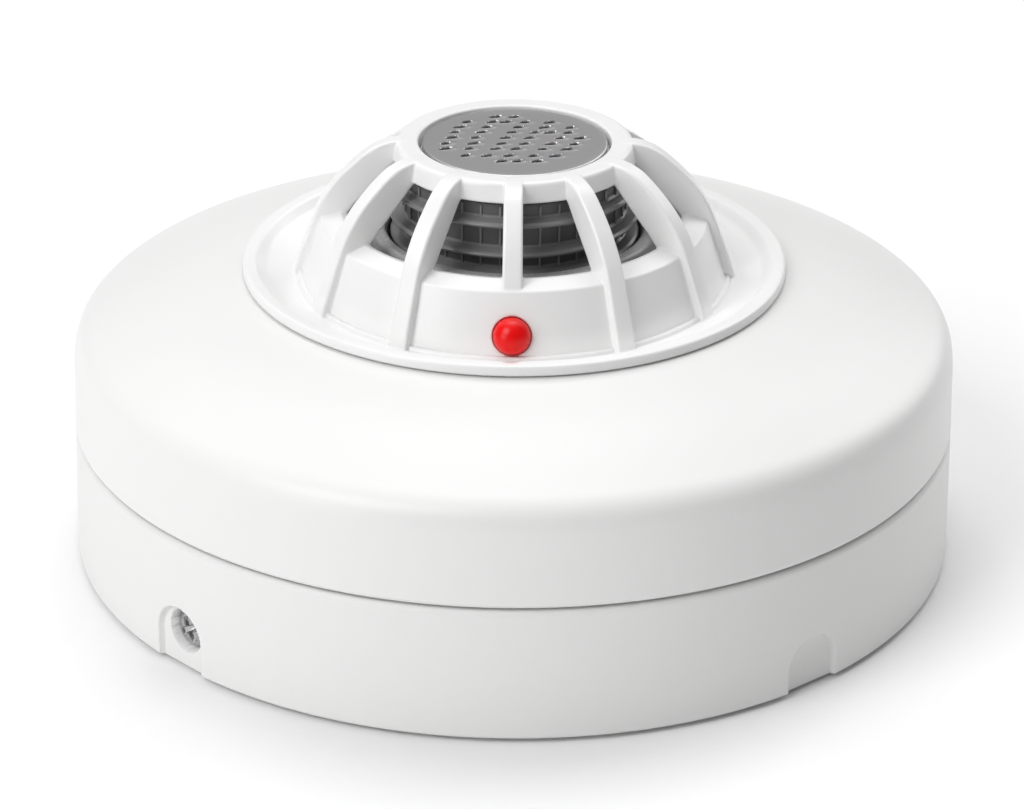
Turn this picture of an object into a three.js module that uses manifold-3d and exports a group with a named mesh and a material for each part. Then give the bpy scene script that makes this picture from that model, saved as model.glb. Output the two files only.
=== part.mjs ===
// Conventional heat detector: twist-on sensing head with a caged thermistor,
// on a round mounting base. Units are millimetres, +Z points out of the face.
// The origin is the middle of the mounting face (z = 0) on the centre line.
// Azimuth 0 is the front (-Y) and grows towards +X.

import * as THREE from "three";
import { mergeVertices } from "three/addons/utils/BufferGeometryUtils.js";
import Module from "manifold-3d";

const wasm = await Module();
wasm.setup();

// ---------------------------------------------------------------- dimensions
const SIDES = 48;                 // facets round the large turned parts
const GAP = 0.3;                  // clearance between neighbouring pieces

const BASE_RADIUS = 52.9;         // mounting base, at the mounting face
const BASE_TOP_RADIUS = 52.6;     // mounting base, at the parting line
const BASE_HEIGHT = 15.95;
const BASE_INNER_RADIUS = 49.9;
const BACK_PLATE = 2.4;           // thickness of the back plate
const CABLE_ENTRY_RADIUS = 11;
const FIXING_SPACING = 60;        // between the two fixing slots
const FIXING_SLOT_WIDTH = 4.6;
const FIXING_SLOT_LENGTH = 11;

const TERMINAL_RADIUS = 30;
const TERMINAL_AZIMUTHS = [45, 135, 225, 315];
const TWIST = 20;                 // bayonet twist that frees the head

const LOCK_AZIMUTH = -45;
const LOCK_HEIGHT = 4.5;
const LOCK_SCREW_RADIUS = 1.45;
const KNOCKOUT_AZIMUTH = 40;
const NUT_SPIN = Math.PI / 2;     // a flat of the hexagon faces the back plate

const BAYONET_AZIMUTHS = [15, 135, 255];
const CHASSIS_SCREW_AZIMUTHS = [0, 120, 240];
const CHASSIS_SCREW_RADIUS = 41;

const COVER_BOTTOM = 16.3;
const BOARD_RADIUS = 36.5;
const BOARD_BOTTOM = 19;
const BOARD_THICKNESS = 1.6;
const BOARD_TOP = BOARD_BOTTOM + BOARD_THICKNESS;

const RIB_COUNT = 12;
const RIB_WIDTH = 2.2;
const RING_OUTER_RADIUS = 14.15;
const RING_INNER_RADIUS = 11.3;
const CAP_RADIUS = 10.85;
const CAP_TOP = 49.75;

const LED_TILT = 17;              // degrees above the horizontal
const LED_RADIUS = 2.1;
const LED_FOOT = { r: 24.1, z: 35.5 };   // where its axis leaves the panel

const BASKET_RADIUS = 14.8;
const BASKET_BARS = 14;

// ------------------------------------------------------------------- helpers
const rad = (degrees) => (degrees * Math.PI) / 180;

// A closed three.js geometry as a solid with merged vertices, facing outwards.
function solid(geometry) {
  const bare = geometry.clone();
  for (const name of Object.keys(bare.attributes)) {
    if (name !== "position") bare.deleteAttribute(name);
  }
  const merged = mergeVertices(bare, 1e-4);
  const position = merged.attributes.position.array;
  const index = merged.index.array;
  const triangles = [];
  let volume = 0;
  for (let i = 0; i < index.length; i += 3) {
    const [a, b, c] = [index[i], index[i + 1], index[i + 2]];
    if (a === b || b === c || a === c) continue;
    triangles.push(a, b, c);
    const p = (k) => new THREE.Vector3(position[3 * k], position[3 * k + 1], position[3 * k + 2]);
    volume += p(a).dot(p(b).cross(p(c)));
  }
  if (volume < 0) {
    for (let i = 0; i < triangles.length; i += 3) {
      [triangles[i + 1], triangles[i + 2]] = [triangles[i + 2], triangles[i + 1]];
    }
  }
  const mesh = new wasm.Mesh({
    numProp: 3,
    vertProperties: Float32Array.from(position),
    triVerts: Uint32Array.from(triangles),
  });
  return new wasm.Manifold(mesh);
}

// A solid of revolution about Z from a closed (radius, height) outline.
function turned(outline, sides = SIDES) {
  const points = outline.map(([r, z]) => new THREE.Vector2(r, z));
  if (outline[0][0] > 0 || outline[outline.length - 1][0] > 0) points.push(points[0].clone());
  const lathe = new THREE.LatheGeometry(points, sides);
  lathe.rotateX(Math.PI / 2);
  return solid(lathe);
}

// A box between two corners.
function blockGeometry(x0, x1, y0, y1, z0, z1) {
  const box = new THREE.BoxGeometry(x1 - x0, y1 - y0, z1 - z0);
  box.translate((x0 + x1) / 2, (y0 + y1) / 2, (z0 + z1) / 2);
  return box;
}
const block = (...corners) => solid(blockGeometry(...corners));

// A round bar along Z.
function rodGeometry(radius, z0, z1, x = 0, y = 0, sides = 20, topRadius = radius) {
  const rod = new THREE.CylinderGeometry(topRadius, radius, z1 - z0, sides);
  rod.rotateX(Math.PI / 2);
  rod.translate(x, y, (z0 + z1) / 2);
  return rod;
}
const rod = (...sizes) => solid(rodGeometry(...sizes));

// A round bar along X, which is outwards in a station's own frame.
function radialRod(radius, x0, x1, y, z, sides = 20, spin = 0) {
  const bar = new THREE.CylinderGeometry(radius, radius, x1 - x0, sides);
  bar.rotateY(spin);
  bar.rotateZ(-Math.PI / 2);
  bar.translate((x0 + x1) / 2, y, z);
  return solid(bar);
}

// A flat outline of [x, y] points extruded along Z between two heights.
function plate(outline, z0, z1, holes = []) {
  const shape = new THREE.Shape(outline.map(([x, y]) => new THREE.Vector2(x, y)));
  for (const hole of holes) {
    shape.holes.push(new THREE.Path(hole.map(([x, y]) => new THREE.Vector2(x, y))));
  }
  const body = new THREE.ExtrudeGeometry(shape, { depth: z1 - z0, bevelEnabled: false, steps: 1 });
  body.translate(0, 0, z0);
  return solid(body);
}

const circle = (radius, x, y, sides) =>
  Array.from({ length: sides }, (_, i) => [
    x + radius * Math.cos((2 * Math.PI * i) / sides),
    y + radius * Math.sin((2 * Math.PI * i) / sides),
  ]);

// Station frame: X is outwards, Y runs with growing azimuth, Z is up.
const turn = (azimuth) => azimuth - 90;
const at = (body, azimuth) => body.rotate([0, 0, turn(azimuth)]);

const union = (first, ...rest) => rest.reduce((body, next) => body.add(next), first);
const cut = (first, ...rest) => rest.reduce((body, next) => body.subtract(next), first);

// A band of a ring between two radii, two azimuths and two heights.
function sector(r0, r1, a0, a1, z0, z1, steps = 6) {
  const outline = [];
  for (let i = 0; i <= steps; i += 1) {
    const a = rad(turn(a0 + ((a1 - a0) * i) / steps));
    outline.push([r1 * Math.cos(a), r1 * Math.sin(a)]);
  }
  for (let i = steps; i >= 0; i -= 1) {
    const a = rad(turn(a0 + ((a1 - a0) * i) / steps));
    outline.push([r0 * Math.cos(a), r0 * Math.sin(a)]);
  }
  return plate(outline, z0, z1);
}

// A named mesh with its own material.
function piece(name, body, material, azimuth = null) {
  const { vertProperties, triVerts } = body.getMesh();
  const geometry = new THREE.BufferGeometry();
  geometry.setAttribute("position", new THREE.BufferAttribute(new Float32Array(vertProperties), 3));
  geometry.setIndex(new THREE.BufferAttribute(new Uint32Array(triVerts), 1));
  geometry.computeVertexNormals();
  const mesh = new THREE.Mesh(geometry, new THREE.MeshStandardMaterial({ name, ...material }));
  mesh.name = name;
  if (azimuth !== null) mesh.rotation.z = rad(turn(azimuth));
  return mesh;
}

// ----------------------------------------------------------------- materials
const WHITE_PLASTIC = { color: 0xf2f2f1, roughness: 0.35, metalness: 0 };
const WHITE_TEXTURED = { color: 0xededec, roughness: 0.55, metalness: 0 };
const GREY_PLASTIC = { color: 0x5a5b5d, roughness: 0.4, metalness: 0 };
const NATURAL_PLASTIC = { color: 0xd9d8d2, roughness: 0.5, metalness: 0 };
const BRUSHED_CAP = { color: 0x98979a, roughness: 0.3, metalness: 1 };
const TINNED_BRASS = { color: 0xc9b98a, roughness: 0.35, metalness: 1 };
const PLATED_STEEL = { color: 0xb9bcc0, roughness: 0.3, metalness: 1 };
const RED_LENS = { color: 0xe00008, roughness: 0.12, metalness: 0 };
const BOARD_GREEN = { color: 0x1f6b3a, roughness: 0.45, metalness: 0 };
const BLACK_PLASTIC = { color: 0x1a1a1b, roughness: 0.5, metalness: 0 };
const BEAD_BLACK = { color: 0x141414, roughness: 0.3, metalness: 0 };
const CAN_BLUE = { color: 0x28406e, roughness: 0.35, metalness: 0 };
const SEAL_RUBBER = { color: 0x2b2b2c, roughness: 0.8, metalness: 0 };

const detector = new THREE.Group();
const base = new THREE.Group();
const head = new THREE.Group();
detector.add(base, head);

// ============================================================ mounting base
{
  const shell = turned([
    [CABLE_ENTRY_RADIUS, 0],
    [BASE_RADIUS - 0.5, 0],
    [BASE_RADIUS, 0.5],
    [BASE_TOP_RADIUS, BASE_HEIGHT - 0.9],
    [BASE_TOP_RADIUS - 0.3, BASE_HEIGHT - 0.25],
    [BASE_TOP_RADIUS - 0.9, BASE_HEIGHT],
    [BASE_INNER_RADIUS + 0.2, BASE_HEIGHT],
    [BASE_INNER_RADIUS, BACK_PLATE],
    [CABLE_ENTRY_RADIUS, BACK_PLATE],
  ]);

  // Bosses under the four terminals.
  const bosses = TERMINAL_AZIMUTHS.map((a) => at(block(26, 34, -12.5, 4.5, BACK_PLATE - 0.4, 5.2), a));
  const bossBores = TERMINAL_AZIMUTHS.map((a) => at(rod(1.8, 2.9, 6, TERMINAL_RADIUS, -8, 12), a));

  // Bayonet ledges on the inside of the wall, with a stop at each end of travel.
  const ledges = BAYONET_AZIMUTHS.flatMap((a) => [
    sector(47.4, BASE_INNER_RADIUS + 0.6, a - 11.4, a + 9, 9.5, 11.5, 8),
    sector(47.4, BASE_INNER_RADIUS + 0.6, a - 11.4, a - 8.9, BACK_PLATE - 0.4, 10, 3),
    sector(47.4, BASE_INNER_RADIUS + 0.6, a + 8.9 + TWIST, a + 11.4 + TWIST, BACK_PLATE - 0.4, 11.5, 3),
  ]);

  // Boss, bore, counterbore and nut pocket of the locking screw.
  const lockBoss = at(block(43.0, 50.6, -5, 5, BACK_PLATE - 0.4, 9.2), LOCK_AZIMUTH);
  const lockBore = at(radialRod(LOCK_SCREW_RADIUS + GAP, 42, 50, 0, LOCK_HEIGHT, 20), LOCK_AZIMUTH);
  const lockMouth = at(radialRod(2.6, 49.4, 54, 0, LOCK_HEIGHT, 28), LOCK_AZIMUTH);
  const nutPocket = at(block(44.3, 47.3, -3.5, 3.5, LOCK_HEIGHT - 3.05, 9.6), LOCK_AZIMUTH);

  // Arched recesses at the foot of the wall: the screw's, and a blank knockout.
  const arch = (width, top, depthRadius, azimuth) => {
    const r = width / 2;
    const outline = [[-r, -1], [r, -1]];
    for (let i = 0; i <= 12; i += 1) {
      const a = (Math.PI * i) / 12;
      outline.push([r * Math.cos(a), top - r + r * Math.sin(a)]);
    }
    const shape = new THREE.Shape(outline.map(([x, y]) => new THREE.Vector2(x, y)));
    const body = new THREE.ExtrudeGeometry(shape, { depth: 6, bevelEnabled: false, steps: 1 });
    // outline X runs with azimuth, outline Y is up, depth runs outwards
    body.applyMatrix4(new THREE.Matrix4().makeBasis(
      new THREE.Vector3(0, 1, 0), new THREE.Vector3(0, 0, 1), new THREE.Vector3(1, 0, 0)));
    body.translate(depthRadius, 0, 0);
    return at(solid(body), azimuth);
  };
  const lockRecess = arch(7.2, 7.8, 51.75, LOCK_AZIMUTH);
  const knockout = arch(7.4, 7.3, 51.45, KNOCKOUT_AZIMUTH);

  // Two fixing slots across the back plate.
  const slots = [90, 270].map((a) => {
    const half = (FIXING_SLOT_LENGTH - FIXING_SLOT_WIDTH) / 2;
    const r = FIXING_SLOT_WIDTH / 2;
    const outline = [];
    for (let i = 0; i <= 8; i += 1) {
      const t = (Math.PI * i) / 8;
      outline.push([FIXING_SPACING / 2 + r * Math.cos(t), half + r * Math.sin(t)]);
    }
    for (let i = 0; i <= 8; i += 1) {
      const t = Math.PI + (Math.PI * i) / 8;
      outline.push([FIXING_SPACING / 2 + r * Math.cos(t), -half + r * Math.sin(t)]);
    }
    return at(plate(outline, -1, BACK_PLATE + 1), a);
  });

  let body = union(shell, ...bosses, ...ledges, lockBoss);
  body = cut(body, ...bossBores, lockBore, lockMouth, nutPocket, lockRecess, knockout, ...slots);
  base.add(piece("mounting_base", body, WHITE_TEXTURED));
}

// ---------------------------------------------------- terminals in the base
{
  // Spring strip: flat foot under the screw, riser, and a leaf over the blade.
  const strip = cut(
    union(
      block(26.8, 33.2, -11.8, 4.0, 5.5, 6.3),
      block(27.4, 32.6, -3.5, -2.8, 6.0, 8.7),
      block(27.4, 32.6, -3.5, 3.6, 8.2, 8.8),
    ),
    rod(1.8, 5, 7, TERMINAL_RADIUS, -8, 12),
  );
  const clamp = cut(
    block(26.8, 33.2, -11.2, -4.8, 6.6, 7.6),
    rod(1.8, 6, 8, TERMINAL_RADIUS, -8, 12),
  );
  const screw = cut(
    union(
      rod(3.1, 7.9, 9.5, TERMINAL_RADIUS, -8, 14, 2.9),
      rod(1.45, 3.2, 8.2, TERMINAL_RADIUS, -8, 10),
    ),
    block(TERMINAL_RADIUS - 2.0, TERMINAL_RADIUS + 2.0, -8.35, -7.65, 8.7, 10),
    block(TERMINAL_RADIUS - 0.35, TERMINAL_RADIUS + 0.35, -10.0, -6.0, 8.7, 10),
  );
  TERMINAL_AZIMUTHS.forEach((azimuth, i) => {
    base.add(piece(`base_contact_${i + 1}`, strip, TINNED_BRASS, azimuth));
    base.add(piece(`wire_clamp_${i + 1}`, clamp, PLATED_STEEL, azimuth));
    base.add(piece(`terminal_screw_${i + 1}`, screw, PLATED_STEEL, azimuth));
  });
}

// ------------------------------------------------- locking screw and its nut
{
  const screw = cut(
    union(
      radialRod(2.2, 49.75, 51.35, 0, LOCK_HEIGHT, 24),
      radialRod(LOCK_SCREW_RADIUS, 42.6, 50.2, 0, LOCK_HEIGHT, 16),
    ),
    block(50.5, 52, -1.45, 1.45, LOCK_HEIGHT - 0.36, LOCK_HEIGHT + 0.36),
    block(50.5, 52, -0.36, 0.36, LOCK_HEIGHT - 1.45, LOCK_HEIGHT + 1.45),
  );
  base.add(piece("locking_screw", screw, PLATED_STEEL, LOCK_AZIMUTH));

  const nut = cut(
    radialRod(3.15, 44.6, 47.0, 0, LOCK_HEIGHT, 6, NUT_SPIN),
    radialRod(LOCK_SCREW_RADIUS + GAP, 44, 48, 0, LOCK_HEIGHT, 16),
  );
  base.add(piece("lock_screw_nut", nut, PLATED_STEEL, LOCK_AZIMUTH));
}

// ============================================================= head chassis
{
  const shell = turned([
    [0, 12.9],
    [46.9, 12.9],
    [46.9, 17.0],
    [49.6, 17.0],
    [49.6, 18.6],
    [45.2, 18.6],
    [45.2, 14.9],
    [0, 14.9],
  ]);
  const lugs = BAYONET_AZIMUTHS.flatMap((a) => [
    sector(45.2, 46.9, a - 8, a + 8, 6.7, 13.2, 6),
    sector(45.2, 49.5, a - 8, a + 8, 6.7, 9.2, 6),
  ]);
  // Leg that the locking screw enters when it is driven in.
  const lockLeg = at(block(37.6, 41.6, -4, 4, 3.0, 13.2), LOCK_AZIMUTH);
  const lockSocket = at(radialRod(LOCK_SCREW_RADIUS + 0.25, 39.0, 42, 0, LOCK_HEIGHT, 16), LOCK_AZIMUTH);
  const boardPosts = [60, 180, 300].map((a) => at(rod(2.2, 14.7, 18.7, 33, 0, 14), a));
  const screwHoles = CHASSIS_SCREW_AZIMUTHS.map((a) => at(rod(1.8, 12, 16, CHASSIS_SCREW_RADIUS, 0, 12), a));
  const bladeSlots = TERMINAL_AZIMUTHS.map((a) => at(block(27.7, 32.3, 3.9, 5.3, 12, 16), a));
  let body = union(shell, ...lugs, lockLeg, ...boardPosts);
  body = cut(body, lockSocket, ...screwHoles, ...bladeSlots);
  head.add(piece("head_chassis", body, NATURAL_PLASTIC));

  const blade = union(
    block(28, 32, -2.0, 5.0, 7.0, 7.75),
    block(28, 32, 4.2, 5.0, 7.0, 18.7),
    block(28, 32, 4.2, 8.5, 11.8, 12.6),
  );
  TERMINAL_AZIMUTHS.forEach((azimuth, i) => {
    head.add(piece(`blade_contact_${i + 1}`, blade, TINNED_BRASS, azimuth));
  });

  const screw = cut(
    union(
      rod(2.8, 11.0, 12.6, CHASSIS_SCREW_RADIUS, 0, 14),
      rod(1.45, 12.3, 22.0, CHASSIS_SCREW_RADIUS, 0, 10),
    ),
    block(CHASSIS_SCREW_RADIUS - 1.9, CHASSIS_SCREW_RADIUS + 1.9, -0.35, 0.35, 10, 11.8),
    block(CHASSIS_SCREW_RADIUS - 0.35, CHASSIS_SCREW_RADIUS + 0.35, -1.9, 1.9, 10, 11.8),
  );
  CHASSIS_SCREW_AZIMUTHS.forEach((azimuth, i) => {
    head.add(piece(`chassis_screw_${i + 1}`, screw, PLATED_STEEL, azimuth));
  });

  // Rubber ring that seals the head against the wall's inner ledge.
  const seal = turned([[47.3, 15.3], [49.3, 15.3], [49.3, 16.7], [47.3, 16.7]], 36);
  head.add(piece("seal_ring", seal, SEAL_RUBBER));
}

// ============================================================== outer cover
{
  const shell = turned([
    [50.15, COVER_BOTTOM],
    [52.25, COVER_BOTTOM],
    [52.6, COVER_BOTTOM + 0.4],
    [52.4, 24.6],
    [52.0, 26.4],
    [51.2, 27.6],
    [50.0, 28.35],
    [45.0, 30.4],
    [41.0, 31.9],
    [37.0, 33.0],
    [33.0, 34.0],
    [31.2, 34.05],
    [31.2, 31.9],
    [41.0, 29.6],
    [48.6, 26.3],
    [50.1, 24.2],
  ]);
  const pillars = CHASSIS_SCREW_AZIMUTHS.map((a) => at(rod(3.2, 15.2, 30.2, CHASSIS_SCREW_RADIUS, 0, 14), a));
  // screwed bores, blind at their upper end
  const bores = CHASSIS_SCREW_AZIMUTHS.map((a) => at(rod(1.8, 15, 23, CHASSIS_SCREW_RADIUS, 0, 12), a));
  head.add(piece("outer_cover", cut(union(shell, ...pillars), ...bores), WHITE_PLASTIC));
}

// ============================================================== sensor cage
{
  const flange = turned([
    [17.0, 31.2],
    [24.8, 31.2],
    [30.8, 33.2],
    [30.8, 34.4],
    [32.1, 34.4],
    [32.0, 35.1],
    [31.2, 35.45],
    [30.2, 34.9],
    [26.8, 33.3],
    [25.2, 33.1],
    [23.9, 36.3],
    [22.0, 40.1],
    [20.7, 40.95],
    [19.9, 40.7],
    [21.9, 32.8],
    [17.0, 32.8],
  ]);
  const ring = turned([
    [10.0, 47.4],
    [RING_OUTER_RADIUS, 47.4],
    [RING_OUTER_RADIUS - 0.35, 49.25],
    [13.2, 49.8],
    [11.6, 49.85],
    [RING_INNER_RADIUS, 49.6],
    [RING_INNER_RADIUS, 48.2],
    [10.0, 48.2],
  ], 36);

  // A rib is a curved blade standing in a plane through the centre line.
  const ribInner = [
    [12.6, 47.9], [14.1, 47.6], [15.55, 46.7], [17.0, 45.5], [18.4, 44.2],
    [19.6, 42.9], [20.2, 41.8], [20.5, 40.6], [21.6, 37.4], [23.3, 32.6],
  ];
  const ribOuter = [
    [26.3, 33.0], [25.9, 34.4], [24.9, 37.1], [24.0, 39.6], [22.9, 42.2],
    [21.2, 44.85], [19.2, 46.95], [17.0, 48.75], [15.4, 49.55], [13.9, 49.85], [12.4, 49.7],
  ];
  // The front rib sinks into the panel that carries the indicator.
  const frontOuter = [
    [24.0, 35.0], [23.1, 37.6], [22.4, 39.3], [22.3, 40.4], [21.9, 42.2],
    [20.8, 44.7], [19.1, 46.8], [17.0, 48.7], [15.4, 49.55], [13.9, 49.85], [12.4, 49.7],
  ];
  const frontInner = ribInner.slice(0, 9).concat([[22.2, 35.0]]);
  const rib = (outline, azimuth) => {
    const shape = new THREE.Shape(outline.map(([r, z]) => new THREE.Vector2(r, z)));
    const body = new THREE.ExtrudeGeometry(shape, { depth: RIB_WIDTH, bevelEnabled: false, steps: 1 });
    body.translate(0, 0, -RIB_WIDTH / 2);
    body.rotateX(Math.PI / 2);
    return at(solid(body), azimuth);
  };
  const ribs = [];
  for (let i = 0; i < RIB_COUNT; i += 1) {
    const azimuth = (360 / RIB_COUNT) * i;
    const [inner, outer] = i === 0 ? [frontInner, frontOuter] : [ribInner, ribOuter];
    ribs.push(rib([...inner, ...outer], azimuth));
  }
  let body = union(flange, ring, ...ribs);

  // Bore for the indicator through the front panel.
  const bore = new THREE.CylinderGeometry(LED_RADIUS + GAP, LED_RADIUS + GAP, 12, 24);
  bore.rotateX(Math.PI / 2);
  bore.rotateX(rad(90 - LED_TILT));
  bore.translate(0, -LED_FOOT.r, LED_FOOT.z);
  // Notch in the inner ledge for the indicator's flange and legs.
  const notch = block(-3.2, 3.2, -21.7, -16, 30.5, 33.6);
  body = cut(body, solid(bore), notch);
  head.add(piece("sensor_cage", body, WHITE_PLASTIC));
}

// =========================================================== indicator lamp
{
  // Lens: flanged cylinder with a domed nose, on its own tilted axis.
  const lens = turned([
    [0, -4.4],
    [2.6, -4.4],
    [2.6, -3.5],
    [LED_RADIUS, -3.5],
    [LED_RADIUS, -0.1],
    [LED_RADIUS * 0.93, 0.75],
    [LED_RADIUS * 0.74, 1.4],
    [LED_RADIUS * 0.42, 1.9],
    [0, 2.1],
  ], 20);
  const mesh = piece("indicator_led", lens, RED_LENS);
  mesh.position.set(0, -LED_FOOT.r, LED_FOOT.z);
  mesh.rotation.x = rad(90 - LED_TILT);
  head.add(mesh);

  // Two legs that run back from the lens and down to the board.
  const leg = (x) => {
    const section = 0.45;
    const rearY = -LED_FOOT.r + (4.4 + GAP) * Math.cos(rad(LED_TILT));
    const rearZ = LED_FOOT.z - (4.4 + GAP) * Math.sin(rad(LED_TILT));
    const bendY = rearY + 0.5;
    const bendZ = rearZ - 0.4;
    const shape = new THREE.Shape([
      new THREE.Vector2(rearY, rearZ + section / 2),
      new THREE.Vector2(rearY, rearZ - section / 2),
      new THREE.Vector2(bendY - section / 2, bendZ - section / 2),
      new THREE.Vector2(bendY - section / 2, BOARD_TOP + GAP),
      new THREE.Vector2(bendY + section / 2, BOARD_TOP + GAP),
      new THREE.Vector2(bendY + section / 2, bendZ + section / 2),
    ]);
    const body = new THREE.ExtrudeGeometry(shape, { depth: section, bevelEnabled: false, steps: 1 });
    body.translate(0, 0, -section / 2);
    body.applyMatrix4(new THREE.Matrix4().makeBasis(
      new THREE.Vector3(0, 1, 0), new THREE.Vector3(0, 0, 1), new THREE.Vector3(1, 0, 0)));
    body.translate(x, 0, 0);
    return solid(body);
  };
  head.add(piece("led_leg_anode", leg(-1.27), PLATED_STEEL));
  head.add(piece("led_leg_cathode", leg(1.27), PLATED_STEEL));
}

// ================================================================ top cap
{
  const shell = turned([
    [0, CAP_TOP],
    [10.3, CAP_TOP - 0.2],
    [CAP_RADIUS, CAP_TOP - 0.7],
    [CAP_RADIUS, CAP_TOP - 1.1],
    [10.2, CAP_TOP - 1.1],
    [10.0, CAP_TOP - 0.75],
    [0, CAP_TOP - 0.55],
  ], 28);
  // Louvre slots in staggered rows: [y, list of x].
  const rows = [
    [6.35, [-2.65, -1.29 + 0.6, 1.4, 4.15]],
    [4.65, [-6.4, -3.3, 0.4, 3.5, 6.4]],
    [2.95, [-7.0, -3.9, -0.5, 2.6, 6.2]],
    [1.2, [-7.3, -4.5, -1.0, 1.8, 5.3]],
    [-0.7, [-8.0, -4.8, -1.5, 1.2, 4.2, 7.0]],
    [-2.4, [-7.6, -5.0, -2.2, 0.6, 3.4, 6.2]],
    [-4.6, [-5.7, -3.1, -0.6, 2.2, 4.8]],
    [-6.3, [-2.6, 0.2, 2.9]],
  ];
  const slots = rows.flatMap(([y, xs]) => xs.map((x) => block(x - 0.65, x + 0.65, y - 0.3, y + 0.3, 48, 51)));
  head.add(piece("top_cap", cut(shell, ...slots), BRUSHED_CAP));
}

// ======================================== basket round the sensing thermistor
{
  // Wall with three shelves round it.
  const shelf = (z) => [
    [13.1, z - 0.35], [14.5, z - 0.3], [BASKET_RADIUS, z], [14.5, z + 0.3], [13.1, z + 0.4],
  ];
  const wall = turned([
    [12.5, 34.9],
    [14.6, 34.9],
    [14.6, 35.7],
    [13.1, 35.8],
    ...shelf(38.75),
    ...shelf(41.3),
    ...shelf(44.9),
    [13.1, 47.0],
    [4, 47.0],
    [4, 46.4],
    [12.5, 46.4],
  ], 28);
  const windows = [];
  for (let i = 0; i < BASKET_BARS; i += 1) {
    const azimuth = (360 / BASKET_BARS) * (i + 0.5);
    windows.push(at(block(11.5, 16, -1.7, 1.7, 39.4, 40.7), azimuth));
    windows.push(at(block(11.5, 16, -1.7, 1.7, 42.0, 44.2), azimuth));
  }
  head.add(piece("mesh_basket", cut(wall, ...windows), GREY_PLASTIC));

  const seat = turned([
    [5.4, 33.1],
    [18.2, 33.1],
    [17.3, 37.4],
    [16.8, 38.1],
    [15.9, 38.3],
    [15.1, 37.8],
    [14.9, 37.0],
    [14.9, 34.6],
    [5.4, 34.6],
  ], 32);
  head.add(piece("basket_seat", seat, GREY_PLASTIC));

  const post = turned([
    [2.2, BOARD_TOP + GAP],
    [6.5, BOARD_TOP + GAP],
    [6.5, 22.2],
    [5.0, 22.6],
    [4.6, 36.5],
    [3.4, 38.0],
    [2.2, 38.0],
  ], 16);
  head.add(piece("thermistor_post", post, NATURAL_PLASTIC));

  const bead = new THREE.SphereGeometry(1.3, 12, 8);
  bead.scale(1, 1, 1.35);
  bead.translate(0, 0, 44.2);
  const sensing = union(
    solid(bead),
    rod(0.3, BOARD_TOP + GAP, 43.6, -0.75, 0, 8),
    rod(0.3, BOARD_TOP + GAP, 43.6, 0.75, 0, 8),
  );
  head.add(piece("sensing_thermistor", sensing, BEAD_BLACK));
}

// ============================================================ circuit board
{
  const board = plate(circle(BOARD_RADIUS, 0, 0, 40), BOARD_BOTTOM, BOARD_TOP);
  head.add(piece("circuit_board", board, BOARD_GREEN));
  const z = BOARD_TOP + GAP;

  const dip = (x, y, length, width, height) => {
    const legs = [];
    for (let i = 0; i < 4; i += 1) {
      const px = x - length / 2 + (length / 4) * (i + 0.5);
      legs.push(block(px - 0.25, px + 0.25, y - width / 2 - 0.9, y + width / 2 + 0.9, z + 0.9, z + 1.3));
      legs.push(block(px - 0.25, px + 0.25, y - width / 2 - 0.9, y - width / 2 - 0.5, z, z + 1.3));
      legs.push(block(px - 0.25, px + 0.25, y + width / 2 + 0.5, y + width / 2 + 0.9, z, z + 1.3));
    }
    return union(block(x - length / 2, x + length / 2, y - width / 2, y + width / 2, z + 0.4, z + height), ...legs);
  };
  head.add(piece("comparator_chip", dip(-17, 4, 9.4, 6.3, 3.4), BLACK_PLASTIC));
  head.add(piece("bridge_rectifier", dip(17, 8, 8.2, 6.3, 3.2), BLACK_PLASTIC));

  const can = turned([
    [0, z], [3.9, z], [4.0, z + 1.2], [3.75, z + 1.6], [4.0, z + 2.0], [4.0, z + 9.2], [3.6, z + 9.6], [0, z + 9.6],
  ], 24);
  const capacitor = piece("smoothing_capacitor", can, CAN_BLUE);
  capacitor.position.set(14, -12, 0);
  head.add(capacitor);

  const reference = new THREE.SphereGeometry(1.5, 14, 8);
  reference.scale(1, 0.7, 1);
  reference.translate(-14, -13, z + 4.2);
  head.add(piece("reference_thermistor", union(
    solid(reference),
    rod(0.3, z, z + 3.4, -14.7, -13, 8),
    rod(0.3, z, z + 3.4, -13.3, -13, 8),
  ), BEAD_BLACK));

  const transistor = plate([
    [-2.3, -1.8], [2.3, -1.8], [2.3, -0.2], [1.4, 1.6], [-1.4, 1.6], [-2.3, -0.2],
  ], z + 3.2, z + 7.8);
  const latch = union(transistor,
    block(-1.7, -1.25, -0.9, -0.45, z, z + 3.5),
    block(-0.22, 0.22, -0.9, -0.45, z, z + 3.5),
    block(1.25, 1.7, -0.9, -0.45, z, z + 3.5));
  const alarm = piece("alarm_thyristor", latch, BLACK_PLASTIC);
  alarm.position.set(-2, 18, 0);
  head.add(alarm);
}

export default detector;
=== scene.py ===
import math

import bmesh
import bpy
import numpy as np
from mathutils import Matrix, Vector


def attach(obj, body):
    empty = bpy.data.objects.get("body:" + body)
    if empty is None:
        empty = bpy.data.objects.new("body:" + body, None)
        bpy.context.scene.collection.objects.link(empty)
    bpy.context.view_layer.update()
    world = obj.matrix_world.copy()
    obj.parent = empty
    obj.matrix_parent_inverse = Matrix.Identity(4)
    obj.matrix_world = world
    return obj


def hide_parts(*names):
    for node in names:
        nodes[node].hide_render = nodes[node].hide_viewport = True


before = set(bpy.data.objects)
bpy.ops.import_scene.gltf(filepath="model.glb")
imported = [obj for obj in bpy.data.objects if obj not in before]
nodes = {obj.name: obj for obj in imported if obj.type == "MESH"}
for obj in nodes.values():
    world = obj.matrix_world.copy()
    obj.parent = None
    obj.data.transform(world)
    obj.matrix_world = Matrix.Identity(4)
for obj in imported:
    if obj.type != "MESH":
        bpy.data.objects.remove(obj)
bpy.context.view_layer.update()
scene = bpy.context.scene
MM = 0.001

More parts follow.
